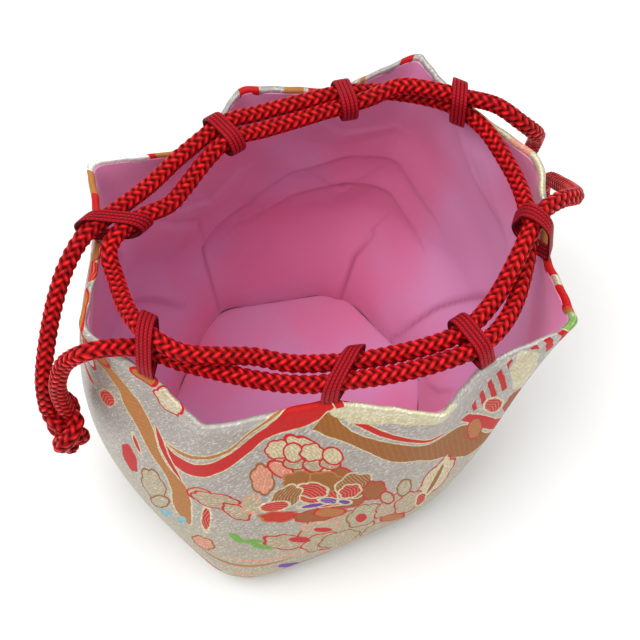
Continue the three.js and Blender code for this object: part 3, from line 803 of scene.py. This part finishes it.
# lining
liningShape = {
    "thickness": 0.0006,
    "gap": 0.0005,
    "below": 0.0015,
    "flatShare": 0.35,
    "floorTop": 0.004,
    "floorBottom": 0.0034,
    "lilac": (0.68, 0.30, 0.53),
    # this colour is painted shade, mixed in along the fold creases
    "creaseShade": (0.42, 0.10, 0.20),
    "rose": (0.76, 0.215, 0.40),
    "clothHeight": 112,  # millimetres that the fold lines' up counts to the rim
    "wrinkle": 0.00035,
    "calmFrom": 107,  # the rim end stays smooth above this height
    "calmOver": 12,
    "backShare": 0.9,
}
foldShape = {
    "lift": 1.7,
    "steepShare": 0.28,  # width of the steep side, as a share of the fold's width
    "endShare": 0.12,  # how far into its rise a fold's line begins and ends
    "creaseAt": 0.3,
    "creaseWidth": 0.9,
    "creaseShade": 0.25,
}
# Most of these lines were marked on the photo and turned into cloth millimetres by a scratch script, so
# they aren't chosen by hand.
folds = [  # soft fold edges in millimetres on the cloth, along and up; steeper on one side
    {"line": [(60, 2), (60, 22), (59, 35), (67, 44), (79, 51)], "width": 10, "push": 1.8, "creaseShade": 0.7},
    {"line": [(59, 35), (57, 50), (37, 71)], "width": 11, "push": 1.6},
    {"line": [(43, 72), (63, 60), (76, 70)], "width": 9, "push": -1.4},
    {"line": [(124, 2), (126, 15), (126, 23), (130, 30)], "width": 9, "push": 1.6, "creaseShade": 0.7},
    {"line": [(76, 50), (94, 67), (115, 72), (135, 68), (150, 55)], "width": 9, "push": 1.6},
    {"line": [(80, 40), (95, 52), (115, 56), (135, 52), (150, 40)], "width": 8, "push": 1.4},
    {"line": [(94, 67), (115, 49), (133, 63)], "width": 6, "push": -1.0},
    {"line": [(150, 107), (165, 88), (187, 73)], "width": 9, "push": 1.8},
    {"line": [(164, 98), (177, 83), (199, 67)], "width": 9, "push": 1.6},
    {"line": [(168, 12), (174, 28), (193, 53)], "width": 9, "push": 1.6, "creaseShade": 0.7},
    {"line": [(203, 14), (214, 22), (217, 28)], "width": 6, "push": 1.1},
    {"line": [(19, 46), (34, 35), (48, 21)], "width": 9, "push": 1.5},
    {"line": [(14, 90), (22, 70), (17, 52)], "width": 7, "push": 1.2},
    {"line": [(100, 98), (112, 84), (131, 82)], "width": 8, "push": -1.2},
    {"line": [(250, 20), (262, 44), (281, 60)], "width": 10, "push": 1.5},
    {"line": [(300, 84), (318, 66), (340, 62)], "width": 10, "push": 1.5},
    {"line": [(330, 8), (338, 30), (356, 48)], "width": 9, "push": 1.4},
    {"line": [(380, 30), (392, 52), (386, 78)], "width": 9, "push": 1.4},
]


def foldPush(along, up):
    # each fold falls away from its line over its width, and over a smaller share of it on the steep side
    total, creaseShade = np.zeros(along.shape), np.zeros(along.shape)
    for fold in folds:
        line = np.array(fold["line"], float)
        nearest = np.full(along.shape, 1e9)
        sideOf = np.ones(along.shape)
        share = np.zeros(along.shape)
        for index, (a, b) in enumerate(zip(line[:-1], line[1:])):
            step = b - a
            t = np.clip(((along - a[0]) * step[0] + (up - a[1]) * step[1]) / (step @ step), 0, 1)
            dx, dy = along - a[0] - t * step[0], up - a[1] - t * step[1]
            far = np.hypot(dx, dy)
            closer = far < nearest
            nearest = np.where(closer, far, nearest)
            sideOf = np.where(closer, np.sign(step[0] * dy - step[1] * dx), sideOf)
            share = np.where(closer, (index + t) / (len(line) - 1), share)
        steepWidth = fold["width"] * foldShape["steepShare"]
        width = np.where(sideOf * fold["push"] > 0, fold["width"], steepWidth)
        ends = foldShape["endShare"]
        swell = np.sin(np.pi * (ends + (1 - 2 * ends) * share))
        height = np.exp(-(nearest / width) ** 1.6) * swell
        total = np.maximum(total, foldShape["lift"] * abs(fold["push"]) * height)
        # painted shade: a dark line along each fold's steep side, where shade falls in the crease
        fromCrease = (nearest - fold["width"] * foldShape["creaseAt"]) / foldShape["creaseWidth"]
        steep = np.exp(-(fromCrease**2)) * (sideOf * fold["push"] < 0)
        creaseShade = np.maximum(creaseShade, fold.get("creaseShade", foldShape["creaseShade"]) * steep * swell)
    return total / 1000, creaseShade


def cottonMaterial():
    material, tree, shader = newMaterial("pinkCotton")
    where = addNode(tree, "ShaderNodeTexCoord").outputs["Object"]
    broad = addNode(tree, "ShaderNodeTexNoise", {"Vector": where, "Scale": 22.0, "Detail": 2.0}).outputs[0]
    fine = addNode(tree, "ShaderNodeTexNoise", {"Vector": where, "Scale": 1800.0, "Detail": 2.0}).outputs[0]
    creaseShade = addNode(tree, "ShaderNodeAttribute", attribute_name="creaseShade").outputs["Fac"]
    color = mixColor(tree, ramp(tree, broad, 0.35, 0.65), liningShape["lilac"], liningShape["rose"])
    # painted shade along the fold creases
    color = mixColor(tree, creaseShade, color, liningShape["creaseShade"])
    tree.links.new(color, shader.inputs["Base Color"])
    bump = addNode(tree, "ShaderNodeBump", {"Height": fine, "Strength": 0.3, "Distance": 0.0001})
    tree.links.new(bump.outputs[0], shader.inputs["Normal"])
    shader.inputs["Roughness"].default_value = 0.75
    shader.inputs["Specular IOR Level"].default_value = 0.25
    shader.inputs["Sheen Weight"].default_value = 0.25
    shader.inputs["Sheen Roughness"].default_value = 0.5
    return material


pinkCotton = cottonMaterial()


def liningPoint(v, inset):
    # upright from the floor's edge, then smoothly over to the inside of the wall
    rise = columns["height"] - pouch["bottom"]
    low = (liningShape["floorBottom"] - pouch["bottom"]) / rise
    share = np.clip(v[:, None], low[None, :], 1 - liningShape["below"] / rise[None, :])
    onWall = wallPoint(columns, share, pouch["wallThickness"] + liningShape["gap"] + inset)
    reach = columns["floor"] + liningShape["gap"] + liningShape["thickness"] - inset + 0 * share
    foot = np.stack([pouch["floorCentre"][0] + reach * np.cos(columns["angle"]),
                     pouch["floorCentre"][1] + reach * np.sin(columns["angle"])], axis=-1)
    blend = smoothstep((share - low[None, :]) / liningShape["flatShare"])[..., None]
    return np.concatenate([foot * (1 - blend) + onWall[..., :2] * blend, onWall[..., 2:]], axis=-1)


def liningWall():
    v = np.linspace(0.015, 0.99, 148)
    back = v[::3]  # the side against the brocade needs fewer rows
    along, up = np.meshgrid(clothAlong[:-1] * 1000, v * liningShape["clothHeight"])
    wrinkle = np.sin(along * 0.21 + up * 0.09) * np.sin(up * 0.16 - along * 0.05 + 1.3)
    push, creaseShade = foldPush(along, up)
    push += liningShape["wrinkle"] * (1 + wrinkle)
    push *= smoothstep((liningShape["calmFrom"] - up) / liningShape["calmOver"])
    inner = liningPoint(v, liningShape["thickness"] + push)
    outer = liningPoint(back, push[::3] * liningShape["backShare"])
    points = np.concatenate([outer, inner[::-1]])
    rows = len(points)
    height = np.concatenate([back, v[::-1], back[:1]]) * (liningShape["clothHeight"] / 1000)
    uv = gridUv(clothAlong, height, rows, len(columns["angle"]), closeRows=True)
    faces = gridFaces(rows, len(columns["angle"]), closeRows=True)
    values = {"creaseShade": np.concatenate([0 * creaseShade[::3], creaseShade[::-1]])}
    piece = addPiece("liningWall", points, faces, pinkCotton, uv, values)
    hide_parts("lining_wall")


def liningFloor():
    # rings from the middle out, rounded over at the edge, then back underneath
    share = np.concatenate([np.linspace(0.001, 0.97, 50), [0.985, 0.995, 1.0, 1.0, 0.99, 0.6, 0.001]])
    top, bottom = liningShape["floorTop"], liningShape["floorBottom"]
    z = np.concatenate([np.full(50, top), [top - 0.0001, top - 0.0002, top - 0.0004], np.full(4, bottom)])
    reach = columns["floor"][None, :] * share[:, None]
    x = pouch["floorCentre"][0] + reach * np.cos(columns["angle"])
    y = pouch["floorCentre"][1] + reach * np.sin(columns["angle"])
    points = np.stack(np.broadcast_arrays(x, y, z[:, None]), axis=-1)
    around = points.shape[1]
    lastRow = (len(share) - 1) * around
    faces = gridFaces(len(share), around)[:, ::-1]
    ends = [list(range(around)), list(range(lastRow, lastRow + around))[::-1]]
    piece = addPiece("liningFloor", points, faces.tolist() + ends, pinkCotton)
    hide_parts("lining_floor")


liningWall()
liningFloor()
print("lining made")

# tabs
tabShape = {
    "width": 0.005,
    "thickness": 0.001,
    "clearance": 0.00075,
    "pinch": 0.0004,
    "inFromRim": 0.001,
    "leanAtCords": 0.35,
}
tabs = [  # the far side of each tab over the two cords, and where it's sewn to the rim
    {"head": (-0.045, 0.0045), "foot": (-0.054, 0.0045)},
    {"head": (-0.0165, 0.036), "foot": (-0.021, 0.041)},
    {"head": (0.02, 0.049), "foot": (0.018, 0.057)},
    {"head": (0.0545, 0.0445), "foot": (0.0555, 0.0525)},
    {"head": (0.071, -0.001), "foot": (0.077, -0.007)},
    {"head": (0.0515, -0.0363), "foot": (0.056, -0.043)},
    {"head": (0.0185, -0.045), "foot": (0.013, -0.053)},
    {"head": (-0.0375, -0.035), "foot": (-0.038, -0.0435)},
]


def tabMaterial():
    material, tree, shader = newMaterial("crimsonTape")
    uv = addNode(tree, "ShaderNodeUVMap", uv_map="UVMap").outputs[0]
    split = addNode(tree, "ShaderNodeSeparateXYZ", {0: uv})
    across = maths(tree, "PINGPONG", split.outputs[1], 0.000625)
    slant = maths(tree, "ADD", split.outputs[0], maths(tree, "MULTIPLY", across, 1.2))
    rib = maths(tree, "SINE", maths(tree, "MULTIPLY", slant, 2 * math.pi / 0.0009))
    column = ramp(tree, across, 0.0, 0.0003)
    height = maths(tree, "MULTIPLY", ramp(tree, rib, -1.0, 1.0, 0.45, 1.0), column)
    # painted shade: the grooves between the ribs and at the column edges are near black, the rib tops red
    color = mixColor(tree, height, (0.07, 0.0008, 0.003), (0.56, 0.006, 0.02))
    tree.links.new(color, shader.inputs["Base Color"])
    bump = addNode(tree, "ShaderNodeBump", {"Height": height, "Strength": 1.0, "Distance": 0.0004})
    tree.links.new(bump.outputs[0], shader.inputs["Normal"])
    shader.inputs["Roughness"].default_value = 0.55
    shader.inputs["Specular IOR Level"].default_value = 0.3
    shader.inputs["Specular Tint"].default_value = (1.0, 0.4, 0.35, 1)
    return material


crimsonTape = tabMaterial()


def convexHull(points):
    # counter-clockwise outline round a set of plane points
    points = sorted(map(tuple, points))
    turn = lambda o, a, b: (a[0] - o[0]) * (b[1] - o[1]) - (a[1] - o[1]) * (b[0] - o[0])

    def chain(items):
        stack = []
        for item in items:
            while len(stack) > 1 and turn(stack[-2], stack[-1], item) <= 0:
                stack.pop()
            stack.append(item)
        return stack[:-1]

    return np.array(chain(points) + chain(points[::-1]))


def tabPiece(index, tab, paths):
    # a flat tape bent round both cords: hull of circles in the upright plane, slid along to its foot
    head, foot = np.array(tab["head"]), np.array(tab["foot"])
    near = [p[np.hypot(*(p[:, :2] - head).T) < tabShape["width"] * 1.7] for p in paths]
    first, second = [(p[-1] - p[0])[:2] / np.linalg.norm((p[-1] - p[0])[:2]) for p in near]
    along = first + second * np.sign(first @ second)
    along /= np.linalg.norm(along)
    inward = np.array([-along[1], along[0]])
    if inward @ (foot - head) > 0:
        inward = -inward
    across = np.array([-inward[1], inward[0]])
    lean = (foot - head) @ across
    cordPoints = np.vstack(near)
    offset = cordPoints[:, :2] - head
    q = offset @ across - lean * tabShape["leanAtCords"]
    keep = np.abs(q) <= tabShape["width"]
    centres = np.column_stack([offset[keep] @ inward, cordPoints[keep, 2]])[::3]
    far = centres[:, 0].max()
    middle = tabShape["thickness"] / 2
    endX = (foot - head) @ inward + tabShape["inFromRim"]
    endZ = pouch["valleyHeight"] + tabShape["thickness"] + tabShape["pinch"]
    circle = np.linspace(0, 2 * np.pi, 72, endpoint=False)
    unit = np.column_stack([np.cos(circle), np.sin(circle)])
    reach = cordLook["diameter"] / 2 + tabShape["clearance"] + middle
    cloud = np.vstack([(centres[:, None] + unit[None] * reach).reshape(-1, 2),
                       np.array([endX, endZ]) + unit * (tabShape["pinch"] + middle)])
    hull = convexHull(cloud)
    hull = np.vstack([hull, hull[:1]])
    length = np.concatenate([[0], np.cumsum(np.linalg.norm(np.diff(hull, axis=0), axis=1))])
    steps = 96
    even = np.linspace(0, length[-1], steps, endpoint=False)
    line = np.column_stack([np.interp(even, length, hull[:, k]) for k in range(2)])
    for _ in range(4):
        line = (np.roll(line, 1, axis=0) + 2 * line + np.roll(line, -1, axis=0)) / 4
    normal = np.roll(line, -1, axis=0) - np.roll(line, 1, axis=0)
    normal = np.column_stack([normal[:, 1], -normal[:, 0]])
    normal /= np.linalg.norm(normal, axis=1, keepdims=True)
    phase = np.linspace(0, 2 * np.pi, 28, endpoint=False)
    edge = lambda x, power: np.sign(x) * np.abs(x) ** power
    wide = edge(np.cos(phase), 0.35) * tabShape["width"] / 2
    thick = edge(np.sin(phase), 0.6) * middle
    p = line[None, :, 0] + normal[None, :, 0] * thick[:, None]
    z = line[None, :, 1] + normal[None, :, 1] * thick[:, None]
    q = wide[:, None] + lean * (far - p) / (far - endX)
    x = head[0] + inward[0] * p + across[0] * q
    y = head[1] + inward[1] * p + across[1] * q
    points = np.stack([x, y, z], axis=-1)
    faces = gridFaces(len(phase), steps, closeRows=True)
    alongTape = np.append(even, length[-1])
    acrossTape = np.append(wide, wide[0]) + tabShape["width"] / 2
    uv = gridUv(alongTape, acrossTape, len(phase), steps, closeRows=True)
    piece = addPiece(f"tab{index}", points, faces, crimsonTape, uv)
    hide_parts(f"loop_{index}")


cordPaths = [smoothRoute(route, cordLook["step"])[0] for route in (leftRoute, rightRoute)]
for index, tab in enumerate(tabs):
    tabPiece(index + 1, tab, cordPaths)
print("tabs made")

# base
cardMaterial, cardTree, cardShader = newMaterial("cardStiffener")
cardShader.inputs["Base Color"].default_value = (0.13, 0.06, 0.06, 1)
cardShader.inputs["Roughness"].default_value = 0.9
for node, material in (("base_cloth", brocade), ("base_board", cardMaterial)):
    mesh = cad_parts[node].data
    mesh.materials.clear()
    mesh.materials.append(material)

# floor and light
floorMaterial, floorTree, floorShader = newMaterial("paleFloor")
floorShader.inputs["Base Color"].default_value = (0.96, 0.96, 0.96, 1)
floorShader.inputs["Roughness"].default_value = 0.9
floorMesh = bpy.data.meshes.new("floor")
floorMesh.from_pydata([(-3, -3, 0), (3, -3, 0), (3, 3, 0), (-3, 3, 0)], [], [(0, 1, 2, 3)])
floorMesh.materials.append(floorMaterial)
floor = bpy.data.objects.new("floor", floorMesh)
scene.collection.objects.link(floor)

lights = [
    {"name": "keyLight", "place": (-0.4, -0.3, 1.0), "size": 0.7, "power": 4.8},
    {"name": "topLight", "place": (0.0, 0.0, 1.3), "size": 1.0, "power": 6},
    {"name": "fillLight", "place": (0.7, -0.5, 0.8), "size": 1.0, "power": 1.6},
    {"name": "backLight", "place": (0.1, 0.8, 0.9), "size": 0.8, "power": 1.6},
]
lightTarget = (0.01, 0, 0.06)
for light in lights:
    data = bpy.data.lights.new(light["name"], "AREA")
    data.shape = "DISK"
    data.size = light["size"]
    data.energy = light["power"]
    lamp = bpy.data.objects.new(light["name"], data)
    scene.collection.objects.link(lamp)
    lamp.location = light["place"]
    back = Vector(light["place"]) - Vector(lightTarget)
    lamp.rotation_euler = back.to_track_quat("Z", "Y").to_euler()
world = bpy.data.worlds.new("studio")
scene.world = world
world.use_nodes = True
world.node_tree.nodes["Background"].inputs["Color"].default_value = (1, 1, 1, 1)
world.node_tree.nodes["Background"].inputs["Strength"].default_value = 0.58
scene.view_settings.view_transform = "Standard"
